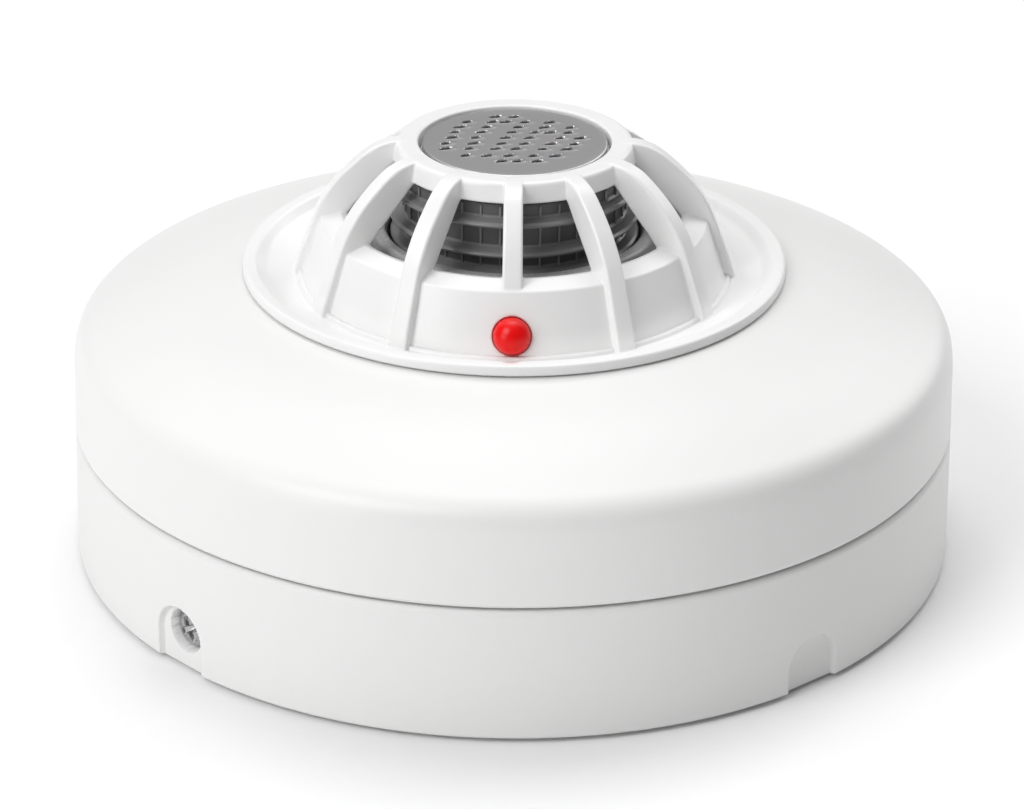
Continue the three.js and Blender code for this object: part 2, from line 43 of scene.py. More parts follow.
# ------------------------------------------------------------------ camera
# Fitted to the round edges of the object: millimetres, front is -Y.
CAM_E = math.radians(25.33)
CAM_D = 430.7
CAM_ROLL = math.radians(0.35)
CAM_F = 3559.8
CAM_XT = -0.15
CAM_ZT = 15.59


def make_camera():
    fwd = Vector((0, math.cos(CAM_E), -math.sin(CAM_E)))
    right = Vector((1, 0, 0))
    up = Vector((0, math.sin(CAM_E), math.cos(CAM_E)))
    c, s = math.cos(CAM_ROLL), math.sin(CAM_ROLL)
    r2 = right * c + up * s
    u2 = -right * s + up * c
    place = Vector((CAM_XT, -CAM_D * math.cos(CAM_E), CAM_ZT + CAM_D * math.sin(CAM_E))) * MM
    data = bpy.data.cameras.new("camera")
    data.sensor_fit = "HORIZONTAL"
    data.sensor_width = 36.0
    data.lens = 36.0 * CAM_F / 1024.0
    data.clip_start = 0.01
    data.clip_end = 20.0
    cam = bpy.data.objects.new("camera", data)
    m = Matrix((
        (r2.x, u2.x, -fwd.x, place.x),
        (r2.y, u2.y, -fwd.y, place.y),
        (r2.z, u2.z, -fwd.z, place.z),
        (0, 0, 0, 1),
    ))
    cam.matrix_world = m
    scene.collection.objects.link(cam)
    scene.camera = cam
    return cam


make_camera()


# ------------------------------------------------------------ mesh helpers
def new_object(name, verts_mm, faces, normals=None):
    mesh = bpy.data.meshes.new(name)
    verts = np.asarray(verts_mm, dtype=float) * MM
    mesh.from_pydata(verts.tolist(), [], [list(map(int, f)) for f in faces])
    mesh.update()
    mesh.shade_smooth()
    if normals is not None:
        mesh.normals_split_custom_set_from_vertices([tuple(n) for n in normals])
    obj = bpy.data.objects.new(name, mesh)
    scene.collection.objects.link(obj)
    return obj


def volume_of(verts, faces):
    total = 0.0
    for f in faces:
        for k in range(1, len(f) - 1):
            a, b, c = verts[f[0]], verts[f[k]], verts[f[k + 1]]
            total += float(np.dot(a, np.cross(b, c)))
    return total / 6.0


def fillet(points, steps=5, closed=True):
    """points: (x, y) or (x, y, radius). Corners with a radius become arcs."""
    out = []
    n = len(points)
    for i, p in enumerate(points):
        radius = p[2] if len(p) > 2 else 0.0
        here = np.array(p[:2], float)
        if radius <= 0 or (not closed and i in (0, n - 1)):
            out.append(tuple(here))
            continue
        a = np.array(points[(i - 1) % n][:2], float)
        b = np.array(points[(i + 1) % n][:2], float)
        u, v = a - here, b - here
        lu, lv = np.linalg.norm(u), np.linalg.norm(v)
        u, v = u / lu, v / lv
        angle = math.acos(max(-1.0, min(1.0, float(np.dot(u, v)))))
        if angle > math.pi - 0.02:
            out.append(tuple(here))
            continue
        reach = radius / math.tan(angle / 2)
        reach = min(reach, 0.49 * lu, 0.49 * lv)
        radius = reach * math.tan(angle / 2)
        bis = (u + v) / np.linalg.norm(u + v)
        centre = here + bis * (radius / math.sin(angle / 2))
        start, end = here + u * reach, here + v * reach
        a0 = math.atan2(*(start - centre)[::-1])
        a1 = math.atan2(*(end - centre)[::-1])
        d = (a1 - a0 + math.pi) % (2 * math.pi) - math.pi
        for k in range(steps + 1):
            t = a0 + d * k / steps
            out.append((centre[0] + radius * math.cos(t), centre[1] + radius * math.sin(t)))
    return out


def spline(points, per=6, closed=False):
    """Catmull-Rom through (x, y) points."""
    pts = [np.array(p[:2], float) for p in points]
    out = []
    n = len(pts)
    last = n if closed else n - 1
    for i in range(last):
        if closed:
            p0, p1, p2, p3 = pts[(i - 1) % n], pts[i], pts[(i + 1) % n], pts[(i + 2) % n]
        else:
            p1, p2 = pts[i], pts[i + 1]
            p0 = pts[i - 1] if i > 0 else 2 * p1 - p2
            p3 = pts[i + 2] if i + 2 < n else 2 * p2 - p1
        for k in range(per):
            t = k / per
            out.append(tuple(0.5 * ((2 * p1) + (-p0 + p2) * t + (2 * p0 - 5 * p1 + 4 * p2 - p3) * t * t
                                    + (-p0 + 3 * p1 - 3 * p2 + p3) * t ** 3)))
    if not closed:
        out.append(tuple(pts[-1]))
    return out


def split_long(points, longest, closed=True):
    """Adds points on long stretches so that smooth shading stays flat there."""
    out = []
    n = len(points)
    count = n if closed else n - 1
    for i in range(count):
        a, b = np.array(points[i]), np.array(points[(i + 1) % n])
        d = np.linalg.norm(b - a)
        k = max(1, int(math.ceil(d / longest)))
        for j in range(k):
            out.append(tuple(a + (b - a) * j / k))
    if not closed:
        out.append(tuple(points[-1]))
    return out


def lathe_data(profile, segments, closed=True, thetas=None):
    """Vertices and faces of a (radius, height) outline turned about Z. Points on the axis make one vertex."""
    if thetas is None:
        thetas = np.linspace(0, 2 * math.pi, segments, endpoint=False)
    segments = len(thetas)
    verts, rows = [], []
    for r, z in profile:
        if r <= 1e-6:
            rows.append([len(verts)] * segments)
            verts.append((0.0, 0.0, z))
        else:
            rows.append(list(range(len(verts), len(verts) + segments)))
            for t in thetas:
                verts.append((r * math.cos(t), r * math.sin(t), z))
    faces = []
    n = len(profile)
    for i in range(n if closed else n - 1):
        a, b = rows[i], rows[(i + 1) % n]
        if a[0] == a[1] and b[0] == b[1]:
            continue
        for j in range(segments):
            k = (j + 1) % segments
            f = [a[j], a[k], b[k], b[j]]
            g = []
            for v in f:
                if v not in g:
                    g.append(v)
            if len(g) >= 3:
                faces.append(g)
    verts = np.array(verts)
    if volume_of(verts, faces) < 0:
        faces = [f[::-1] for f in faces]
    return verts, faces


def lathe(name, profile, segments=192, closed=True):
    verts, faces = lathe_data(profile, segments, closed)
    return new_object(name, verts, faces)


def weighted(obj, keep=True):
    mod = obj.modifiers.new("normals", "WEIGHTED_NORMAL")
    mod.mode = "FACE_AREA"
    mod.weight = 80
    mod.keep_sharp = True
    return obj


def settle(obj):
    """Bakes an object's modifiers into its mesh."""
    deps = bpy.context.evaluated_depsgraph_get()
    done = bpy.data.meshes.new_from_object(obj.evaluated_get(deps))
    old = obj.data
    obj.modifiers.clear()
    obj.data = done
    bpy.data.meshes.remove(old)
    return obj


def boolean(obj, others, operation):
    for other in others:
        mod = obj.modifiers.new("bool", "BOOLEAN")
        mod.operation = operation
        mod.solver = "MANIFOLD"
        mod.object = other
    bpy.context.view_layer.update()
    settle(obj)
    for other in others:
        bpy.data.objects.remove(other)
    return obj


def sharp_by_angle(obj, degrees):
    mesh = obj.data
    mesh.shade_smooth()
    mesh.set_sharp_from_angle(angle=math.radians(degrees))
    return obj


def cad_copy(node):
    obj = bpy.data.objects.new(node + "_copy", nodes[node].data.copy())
    obj.data.materials.clear()
    work = bmesh.new()
    work.from_mesh(obj.data)
    bmesh.ops.remove_doubles(work, verts=work.verts, dist=1e-6)
    bmesh.ops.dissolve_degenerate(work, edges=work.edges, dist=1e-7)
    work.to_mesh(obj.data)
    work.free()
    scene.collection.objects.link(obj)
    return obj


def azimuth_dir(a):
    """Outward direction at azimuth a in degrees: 0 is the front (-Y), growing towards +X."""
    return math.sin(math.radians(a)), -math.cos(math.radians(a))


def station(obj, azimuth):
    """Turns an object made in the station frame (X outwards, Y with growing azimuth)."""
    obj.data.transform(Matrix.Rotation(math.radians(azimuth - 90), 4, "Z"))
    return obj


def prism(name, outline, lo, hi, axis="Z"):
    """A straight extrusion of a flat outline. axis Z: outline is x, y. axis X: outline is y, z."""
    n = len(outline)
    verts = []
    for h in (lo, hi):
        for a, b in outline:
            verts.append((a, b, h) if axis == "Z" else (h, a, b))
    faces = [list(range(n))[::-1], list(range(n, 2 * n))]
    for i in range(n):
        j = (i + 1) % n
        faces.append([i, j, n + j, n + i])
    verts = np.array(verts, float)
    if volume_of(verts, faces) < 0:
        faces = [f[::-1] for f in faces]
    return new_object(name, verts, faces)


# --------------------------------------------------------------- materials
def material(name, colour, rough, metal=0.0, spec=0.5, coat=0.0, coat_rough=0.1, sss=0.0, sss_radius=(1, 1, 1), ior=1.5):
    mat = bpy.data.materials.new(name)
    mat.use_nodes = True
    bsdf = mat.node_tree.nodes["Principled BSDF"]
    bsdf.inputs["Base Color"].default_value = (*colour, 1)
    bsdf.inputs["Roughness"].default_value = rough
    bsdf.inputs["Metallic"].default_value = metal
    bsdf.inputs["Specular IOR Level"].default_value = spec
    bsdf.inputs["IOR"].default_value = ior
    bsdf.inputs["Coat Weight"].default_value = coat
    bsdf.inputs["Coat Roughness"].default_value = coat_rough
    if sss > 0:
        bsdf.inputs["Subsurface Weight"].default_value = sss
        bsdf.inputs["Subsurface Radius"].default_value = sss_radius
        bsdf.inputs["Subsurface Scale"].default_value = 0.001
    return mat, bsdf


def noise(mat, scale, detail=4.0, rough=0.6, vector=None, stretch=None):
    tree = mat.node_tree
    coord = tree.nodes.new("ShaderNodeTexCoord")
    src = coord.outputs["Object"] if vector is None else vector
    if stretch is not None:
        mapping = tree.nodes.new("ShaderNodeMapping")
        mapping.inputs["Scale"].default_value = stretch
        tree.links.new(src, mapping.inputs["Vector"])
        src = mapping.outputs["Vector"]
    node = tree.nodes.new("ShaderNodeTexNoise")
    node.inputs["Scale"].default_value = scale
    node.inputs["Detail"].default_value = detail
    node.inputs["Roughness"].default_value = rough
    tree.links.new(src, node.inputs["Vector"])
    return node


def bump(mat, bsdf, heights, strength, distance_mm):
    """heights: one output socket. Bump of the given depth in millimetres."""
    node = mat.node_tree.nodes.new("ShaderNodeBump")
    node.inputs["Strength"].default_value = strength
    node.inputs["Distance"].default_value = distance_mm * MM
    mat.node_tree.links.new(heights, node.inputs["Height"])
    mat.node_tree.links.new(node.outputs["Normal"], bsdf.inputs["Normal"])
    return node


def vary_colour(mat, bsdf, factor, low, high):
    ramp = mat.node_tree.nodes.new("ShaderNodeMix")
    ramp.data_type = "RGBA"
    ramp.inputs["A"].default_value = (*low, 1)
    ramp.inputs["B"].default_value = (*high, 1)
    mat.node_tree.links.new(factor, ramp.inputs["Factor"])
    mat.node_tree.links.new(ramp.outputs["Result"], bsdf.inputs["Base Color"])


def vary_rough(mat, bsdf, factor, low, high):
    node = mat.node_tree.nodes.new("ShaderNodeMapRange")
    node.inputs["To Min"].default_value = low
    node.inputs["To Max"].default_value = high
    mat.node_tree.links.new(factor, node.inputs["Value"])
    mat.node_tree.links.new(node.outputs["Result"], bsdf.inputs["Roughness"])


def white_plastic(name, colour, rough, grain_mm, grain_depth, mottle=0.012):
    """Moulded white plastic: fine spark grain, slight unevenness of colour and gloss."""
    mat, bsdf = material(name, colour, rough, spec=0.5, sss=0.0)
    fine = noise(mat, 1.0 / (grain_mm * MM), detail=3.0, rough=0.65)
    broad = noise(mat, 60.0, detail=3.0, rough=0.5)
    low = tuple(c * (1 - mottle) for c in colour)
    vary_colour(mat, bsdf, broad.outputs["Fac"], low, colour)
    vary_rough(mat, bsdf, fine.outputs["Fac"], rough - 0.05, rough + 0.06)
    bump(mat, bsdf, fine.outputs["Fac"], 1.0, grain_depth)
    return mat


def moulded(name, colour, rough, grain_mm=0.35, depth=0.01, mottle=0.05, spec=0.5):
    mat, bsdf = material(name, colour, rough, spec=spec)
    fine = noise(mat, 1.0 / (grain_mm * MM), detail=3.0)
    broad = noise(mat, 220.0, detail=3.0)
    vary_colour(mat, bsdf, broad.outputs["Fac"], tuple(c * (1 - mottle) for c in colour),
                tuple(min(1.0, c * (1 + mottle)) for c in colour))
    vary_rough(mat, bsdf, fine.outputs["Fac"], max(0.05, rough - 0.06), rough + 0.08)
    bump(mat, bsdf, fine.outputs["Fac"], 1.0, depth)
    return mat


def metal(name, colour, rough, stretch=None, scale=900.0, depth=0.004, mottle=0.06):
    mat, bsdf = material(name, colour, rough, metal=1.0)
    streak = noise(mat, scale, detail=3.0, stretch=stretch)
    broad = noise(mat, 180.0, detail=2.0)
    vary_colour(mat, bsdf, broad.outputs["Fac"], tuple(c * (1 - mottle) for c in colour),
                tuple(min(1.0, c * (1 + mottle)) for c in colour))
    vary_rough(mat, bsdf, streak.outputs["Fac"], max(0.05, rough - 0.08), rough + 0.1)
    bump(mat, bsdf, streak.outputs["Fac"], 1.0, depth)
    return mat


def paint_shade_by_mask(mat, bsdf, mask, inside, outside, rough_in, rough_out):
    """Painted shade: colour and roughness by a 0 to 1 mask, outside at 0, inside at 1."""
    vary_colour(mat, bsdf, mask, outside, inside)
    vary_rough(mat, bsdf, mask, rough_out, rough_in)


def soft_step(mat, value, lo, hi):
    node = mat.node_tree.nodes.new("ShaderNodeMapRange")
    node.interpolation_type = "SMOOTHSTEP"
    node.inputs["From Min"].default_value = lo
    node.inputs["From Max"].default_value = hi
    mat.node_tree.links.new(value, node.inputs["Value"])
    return node.outputs["Result"]


def math_node(mat, operation, a, b=None):
    node = mat.node_tree.nodes.new("ShaderNodeMath")
    node.operation = operation
    for socket, value in zip(node.inputs, (a, b)):
        if value is None:
            continue
        if isinstance(value, (int, float)):
            socket.default_value = value
        else:
            mat.node_tree.links.new(value, socket)
    return node.outputs[0]


def object_axes(mat):
    coord = mat.node_tree.nodes.new("ShaderNodeTexCoord")
    split = mat.node_tree.nodes.new("ShaderNodeSeparateXYZ")
    mat.node_tree.links.new(coord.outputs["Object"], split.inputs[0])
    x, y, z = split.outputs
    radius = math_node(mat, "SQRT", math_node(mat, "ADD", math_node(mat, "MULTIPLY", x, x), math_node(mat, "MULTIPLY", y, y)))
    return radius, z


def basket_material():
    """Painted shade on the solid liner between the bars, standing in for the shade seen through the mesh openings;
    the bars and shelves are lighter and glossier.
    """
    mat, bsdf = material("basket_grey", (0.13, 0.13, 0.132), 0.25)
    radius, _ = object_axes(mat)
    # painted shade: below r 13.1 mm the solid liner takes the dark colour of the shade behind the mesh openings
    mask = soft_step(mat, radius, 13.08 * MM, 13.14 * MM)
    paint_shade_by_mask(mat, bsdf, mask, (0.21, 0.21, 0.212), (0.095, 0.095, 0.097), 0.22, 0.4)
    fine = noise(mat, 2500.0, detail=3.0)
    bump(mat, bsdf, fine.outputs["Fac"], 1.0, 0.002)
    return mat


def cap_material():
    """Fine brushed grey metal, with painted shade: dark and dull down inside the louvre slits, standing in for the
    dark openings.
    """
    mat, bsdf = material("cap_metal", (0.62, 0.61, 0.62), 0.42, metal=1.0)
    radius, z = object_axes(mat)
    # painted shade: the slit floors, low in the disc and inside r 10 mm, are coloured near black and dull
    low = math_node(mat, "SUBTRACT", 1.0, soft_step(mat, z, 49.35 * MM, 49.56 * MM))
    inner = math_node(mat, "SUBTRACT", 1.0, soft_step(mat, radius, 9.9 * MM, 10.1 * MM))
    mask = math_node(mat, "MULTIPLY", low, inner)
    paint_shade_by_mask(mat, bsdf, mask, (0.05, 0.05, 0.05), (0.60, 0.59, 0.60), 0.7, 0.42)
    streak = noise(mat, 2600.0, detail=3.0, stretch=(1.0, 0.06, 1.0))
    bump(mat, bsdf, streak.outputs["Fac"], 1.0, 0.003)
    return mat


MAT_COVER = white_plastic("cover_white", (0.83, 0.83, 0.825), 0.38, 0.28, 0.006)
MAT_BASE = white_plastic("base_white", (0.82, 0.82, 0.815), 0.5, 0.3, 0.012)
MAT_CAGE = white_plastic("cage_white", (0.875, 0.875, 0.873), 0.3, 0.4, 0.003)
MAT_CAP = cap_material()
MAT_BASKET = basket_material()
MAT_SEAT = moulded("seat_grey", (0.38, 0.38, 0.385), 0.25, 0.4, 0.002)
MAT_NATURAL = moulded("natural_plastic", (0.72, 0.72, 0.68), 0.45)
MAT_BRASS = metal("tinned_brass", (0.72, 0.66, 0.48), 0.32)
MAT_STEEL = metal("plated_steel", (0.62, 0.63, 0.65), 0.24)
MAT_SCREW = metal("screw_steel", (0.42, 0.42, 0.425), 0.26)
MAT_BLACK = moulded("black_epoxy", (0.02, 0.02, 0.021), 0.5)
MAT_BEAD = moulded("bead_black", (0.012, 0.012, 0.012), 0.2, 0.2, 0.003)
MAT_CAN = moulded("can_sleeve", (0.02, 0.05, 0.17), 0.3)
MAT_RUBBER = moulded("seal_rubber", (0.025, 0.025, 0.025), 0.75)


def led_material():
    mat, bsdf = material("red_lens", (0.80, 0.0, 0.0), 0.3, spec=0.3, coat=0.15, coat_rough=0.2, ior=1.45)
    # painted light: a faint red glow on the unlit lamp lifts the lens's shaded side
    bsdf.inputs["Emission Color"].default_value = (1, 0, 0, 1)
    bsdf.inputs["Emission Strength"].default_value = 0.03
    n = noise(mat, 500.0, detail=2.0)
    vary_colour(mat, bsdf, n.outputs["Fac"], (0.77, 0.0, 0.0), (0.83, 0.0, 0.001))
    vary_rough(mat, bsdf, n.outputs["Fac"], 0.26, 0.36)
    return mat


def board_material():
    mat, bsdf = material("board_green", (0.02, 0.16, 0.06), 0.35, spec=0.5)
    tracks = mat.node_tree.nodes.new("ShaderNodeTexBrick")
    coord = mat.node_tree.nodes.new("ShaderNodeTexCoord")
    tracks.inputs["Scale"].default_value = 260.0
    tracks.inputs["Color1"].default_value = (0.02, 0.16, 0.06, 1)
    tracks.inputs["Color2"].default_value = (0.025, 0.19, 0.07, 1)
    tracks.inputs["Mortar"].default_value = (0.05, 0.30, 0.12, 1)
    tracks.inputs["Mortar Size"].default_value = 0.012
    mat.node_tree.links.new(coord.outputs["Object"], tracks.inputs["Vector"])
    mat.node_tree.links.new(tracks.outputs["Color"], bsdf.inputs["Base Color"])
    fine = noise(mat, 2500.0)
    bump(mat, bsdf, fine.outputs["Fac"], 1.0, 0.004)
    vary_rough(mat, bsdf, fine.outputs["Fac"], 0.28, 0.42)
    return mat


MAT_LED = led_material()
MAT_BOARD = board_material()


def finish_piece(obj, body, mat, replaces=()):
    obj.data.materials.clear()
    obj.data.materials.append(mat)
    if replaces:
        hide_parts(*replaces)
    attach(obj, body)
    return obj


# ------------------------------------------------ cage: field and its skin
def segment_distance(px, pz, poly):
    """Signed distance, negative inside, from points to a closed polygon."""
    shape = px.shape
    px, pz = px.ravel(), pz.ravel()
    best = np.full(px.shape, 1e9)
    inside = np.zeros(px.shape, bool)
    n = len(poly)
    for i in range(n):
        ax, az = poly[i]
        bx, bz = poly[(i + 1) % n]
        ex, ez = bx - ax, bz - az
        wx, wz = px - ax, pz - az
        t = np.clip((wx * ex + wz * ez) / (ex * ex + ez * ez + 1e-12), 0, 1)
        d = (wx - ex * t) ** 2 + (wz - ez * t) ** 2
        best = np.minimum(best, d)
        cond = ((az > pz) != (bz > pz))
        with np.errstate(divide="ignore", invalid="ignore"):
            cross = cond & (px < (bx - ax) * (pz - az) / (bz - az + 1e-15) + ax)
        inside ^= cross
    d = np.sqrt(best)
    return np.where(inside, -d, d).reshape(shape)


def smin(a, b, k):
    h = np.clip(0.5 + 0.5 * (b - a) / k, 0, 1)
    return b + (a - b) * h - k * h * (1 - h)


FLANGE = fillet([
    (17.0, 31.2, 0.2), (24.8, 31.2, 0.6), (30.8, 33.2, 0.3), (30.8, 34.15, 0.1),
    (32.15, 34.15, 0.2), (32.15, 35.42, 0.45), (30.45, 35.38, 0.55), (29.5, 34.15, 1.2), (26.6, 33.15, 1.2),
    (25.15, 33.0, 0.25), (22.75, 40.3, 0.42), (20.4, 40.98, 0.3), (19.55, 40.75, 0.2),
    (21.9, 32.8, 0.3), (17.0, 32.8, 0.2),
], steps=5)
RING = fillet([
    (10.0, 47.4, 0.15), (14.15, 47.4, 0.22), (13.85, 49.87, 0.65), (11.3, 49.87, 0.3),
    (11.3, 48.2, 0.1), (10.0, 48.2, 0.15),
], steps=6)
RIB_OUT = spline([(26.35, 32.6), (25.9, 34.3), (24.9, 37.1), (23.95, 39.7), (22.85, 42.3), (21.15, 44.85),
                  (19.15, 46.95), (17.0, 48.75), (15.4, 49.55), (13.9, 49.87), (12.3, 49.8)], per=4)
RIB_IN = spline([(12.4, 47.8), (13.8, 47.3), (14.8, 46.3), (15.95, 45.0), (17.15, 43.65),
                 (18.4, 42.3), (19.2, 41.3), (19.9, 40.3), (21.2, 37.0), (22.9, 32.4)], per=4)
FRONT_OUT = spline([(23.9, 34.6), (23.1, 37.0), (22.55, 39.0), (22.3, 40.4), (21.85, 42.3), (20.75, 44.7),
                    (19.05, 46.85), (17.0, 48.7), (15.4, 49.55), (13.9, 49.87), (12.3, 49.8)], per=4)
FRONT_IN = spline([(12.4, 47.8), (13.8, 47.3), (14.8, 46.3), (15.95, 45.0), (17.15, 43.65),
                   (18.4, 42.3), (19.2, 41.3), (19.9, 40.3), (20.9, 37.9), (22.0, 34.8)], per=4)
RIB = RIB_IN + RIB_OUT
BACK_OUT = spline([(26.35, 32.6), (25.7, 34.3), (24.55, 37.1), (23.4, 39.6), (22.1, 41.9), (20.35, 44.2),
                   (18.35, 46.15), (16.5, 47.6), (15.2, 48.5), (13.9, 49.1), (12.3, 49.2)], per=4)
BACK_RIB = RIB_IN + BACK_OUT
FRONT_RIB = FRONT_IN + FRONT_OUT

LED_TILT = math.radians(17)
LED_R = 2.15
LED_FOOT = np.array((0.0, -24.1, 35.5))
CAGE_TURN = math.radians(-0.5)
LED_AXIS = np.array((0.0, -math.cos(LED_TILT), math.sin(LED_TILT)))


def cage_parts(r, z):
    return segment_distance(r, z, FLANGE), segment_distance(r, z, RING), \
        segment_distance(r, z, RIB), segment_distance(r, z, FRONT_RIB), segment_distance(r, z, BACK_RIB)


def cage_field(r, theta, z, parts=None):
    """theta is the azimuth in radians. All arrays broadcast together."""
    d_flange, d_ring, d_rib, d_front, d_back = cage_parts(r, z) if parts is None else parts
    sector = math.pi / 6
    index = np.round(theta / sector)
    local = theta - index * sector
    t = np.abs(r * np.sin(local))
    front = (np.mod(index, 12) == 0)
    back = np.abs(np.mod(index, 12) - 6) < 2.5
    d2 = np.where(front, d_front, np.where(back, d_back, d_rib))
    half = 1.19 - 0.12 * np.clip((z - 34.0) / 16.0, 0, 1)
    rho = 0.3
    qx, qy = d2 + rho, t - half + rho
    rib = np.sqrt(np.maximum(qx, 0) ** 2 + np.maximum(qy, 0) ** 2) + np.minimum(np.maximum(qx, qy), 0) - rho
    bead = np.hypot(r - 25.28, z - 33.12) - 0.34
    d_flange = smin(d_flange, bead, 0.12)
    body = smin(smin(d_flange, rib, 0.22), smin(d_ring, rib, 0.22), 0.02)
    # bore for the indicator, with a softened mouth
    x = r * np.sin(theta)
    y = -r * np.cos(theta)
    dx, dy, dz = x - LED_FOOT[0], y - LED_FOOT[1], z - LED_FOOT[2]
    along = dx * LED_AXIS[0] + dy * LED_AXIS[1] + dz * LED_AXIS[2]
    off = np.sqrt(np.maximum(dx * dx + dy * dy + dz * dz - along * along, 0))
    bore = np.maximum(off - (LED_R + 0.06), -along - 7.0)
    body = -smin(-body, bore, 0.25)
    # notch in the inner ledge for the indicator's flange and legs
    notch = np.maximum(np.maximum(np.abs(x) - 3.2, np.abs(y + 18.85) - 2.85), np.abs(z - 32.1) - 1.6)
    return np.maximum(body, -notch)


def surface_nets(r_nodes, t_nodes, z_nodes, field):
    """Quads round the zero surface of a field on a cylindrical grid, periodic in theta."""
    nr, nt, nz = field.shape
    nxt = np.roll(field, -1, axis=1)
    corners = {}
    for a in (0, 1):
        for b in (0, 1):
            for c in (0, 1):
                src = nxt if b else field
                corners[(a, b, c)] = src[a:nr - 1 + a, :, c:nz - 1 + c]
    count = sum((v < 0).astype(np.int8) for v in corners.values())
    active = (count > 0) & (count < 8)
    ijk = np.argwhere(active)
    ids = np.full(active.shape, -1, np.int64)
    ids[active] = np.arange(len(ijk))
    vals = {key: v[active] for key, v in corners.items()}
    total = np.zeros((len(ijk), 3))
    hits = np.zeros(len(ijk))
    keys = list(corners)
    for i, p in enumerate(keys):
        for q in keys[i + 1:]:
            if sum(abs(p[k] - q[k]) for k in range(3)) != 1:
                continue
            fa, fb = vals[p], vals[q]
            cross = (fa < 0) != (fb < 0)
            with np.errstate(divide="ignore", invalid="ignore"):
                t = np.where(cross, fa / (fa - fb), 0.0)
            for k in range(3):
                total[:, k] += np.where(cross, p[k] + (q[k] - p[k]) * t, 0.0)
            hits += cross
    local = total / hits[:, None]
    t_next = np.append(t_nodes[1:], t_nodes[0] + 2 * math.pi)
    r = r_nodes[ijk[:, 0]] + local[:, 0] * (r_nodes[ijk[:, 0] + 1] - r_nodes[ijk[:, 0]])
    t = t_nodes[ijk[:, 1]] + local[:, 1] * (t_next[ijk[:, 1]] - t_nodes[ijk[:, 1]])
    z = z_nodes[ijk[:, 2]] + local[:, 2] * (z_nodes[ijk[:, 2] + 1] - z_nodes[ijk[:, 2]])
    faces = []
    neg = field < 0
    # edges along r: cells share (j-1, j) and (k-1, k)
    a, b = neg[:-1, :, 1:-1], neg[1:, :, 1:-1]
    for flip in (False, True):
        sel = np.argwhere((a & ~b) if not flip else (~a & b))
        i, j, k = sel[:, 0], sel[:, 1], sel[:, 2] + 1
        jm = (j - 1) % nt
        quad = np.stack([ids[i, jm, k - 1], ids[i, j, k - 1], ids[i, j, k], ids[i, jm, k]], 1)
        faces.append(quad[:, ::-1] if flip else quad)
    # edges along theta: cells share (i-1, i) and (k-1, k)
    a, b = neg[1:-1, :, 1:-1], np.roll(neg, -1, axis=1)[1:-1, :, 1:-1]
    for flip in (False, True):
        sel = np.argwhere((a & ~b) if not flip else (~a & b))
        i, j, k = sel[:, 0] + 1, sel[:, 1], sel[:, 2] + 1
        quad = np.stack([ids[i - 1, j, k - 1], ids[i - 1, j, k], ids[i, j, k], ids[i, j, k - 1]], 1)
        faces.append(quad[:, ::-1] if flip else quad)
    # edges along z: cells share (i-1, i) and (j-1, j)
    a, b = neg[1:-1, :, :-1], neg[1:-1, :, 1:]
    for flip in (False, True):
        sel = np.argwhere((a & ~b) if not flip else (~a & b))
        i, j, k = sel[:, 0] + 1, sel[:, 1], sel[:, 2]
        jm = (j - 1) % nt
        quad = np.stack([ids[i - 1, jm, k], ids[i, jm, k], ids[i, j, k], ids[i - 1, j, k]], 1)
        faces.append(quad[:, ::-1] if flip else quad)
    return np.stack([r, t, z], 1), np.concatenate(faces)


def to_xyz(rtz):
    r, t, z = rtz[:, 0], rtz[:, 1], rtz[:, 2]
    return np.stack([r * np.sin(t), -r * np.cos(t), z], 1)


def field_xyz(p):
    r = np.hypot(p[:, 0], p[:, 1])
    t = np.mod(np.arctan2(p[:, 0], -p[:, 1]), 2 * math.pi)
    return cage_field(r, t, p[:, 2])


def field_gradient(p, h=0.02):
    g = np.zeros_like(p)
    for k in range(3):
        step = np.zeros(3)
        step[k] = h
        g[:, k] = (field_xyz(p + step) - field_xyz(p - step)) / (2 * h)
    return g


def make_cage():
    d = 0.27
    r_nodes = np.arange(9.6, 32.8, d)
    z_nodes = np.arange(30.8, 51.2, d)
    # finer round each rib
    fine, coarse = ((0.42, 1.5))
    local = np.concatenate([np.arange(-7.0, 7.0, fine), np.arange(7.0, 23.0 - 1e-6, coarse)])
    t_nodes = np.concatenate([local + 30 * i for i in range(12)])
    t_nodes = np.radians(np.sort(t_nodes))
    rr, zz = np.meshgrid(r_nodes, z_nodes, indexing="ij")
    parts = [p[:, None, :] for p in cage_parts(rr, zz)]
    field = cage_field(r_nodes[:, None, None], t_nodes[None, :, None], z_nodes[None, None, :], parts)
    rtz, faces = surface_nets(r_nodes, t_nodes, z_nodes, field)
    p = to_xyz(rtz)
    for _ in range(3):
        g = field_gradient(p)
        n2 = np.maximum((g * g).sum(1), 0.3)
        step = field_xyz(p)[:, None] * g / n2[:, None]
        length = np.linalg.norm(step, axis=1, keepdims=True)
        step *= np.minimum(1.0, 0.6 * d / np.maximum(length, 1e-9))
        p = p - step
    g = field_gradient(p)
    normals = g / np.maximum(np.linalg.norm(g, axis=1, keepdims=True), 1e-9)
    # make the faces' winding agree with the outward normals
    a, b, c = p[faces[:, 0]], p[faces[:, 1]], p[faces[:, 2]]
    fn = np.cross(b - a, c - a)
    if (fn * normals[faces[:, 0]]).sum() < 0:
        faces = faces[:, ::-1]
    turn = np.array(Matrix.Rotation(CAGE_TURN, 3, "Z"))
    return new_object("cage", p @ turn.T, faces, normals @ turn.T)


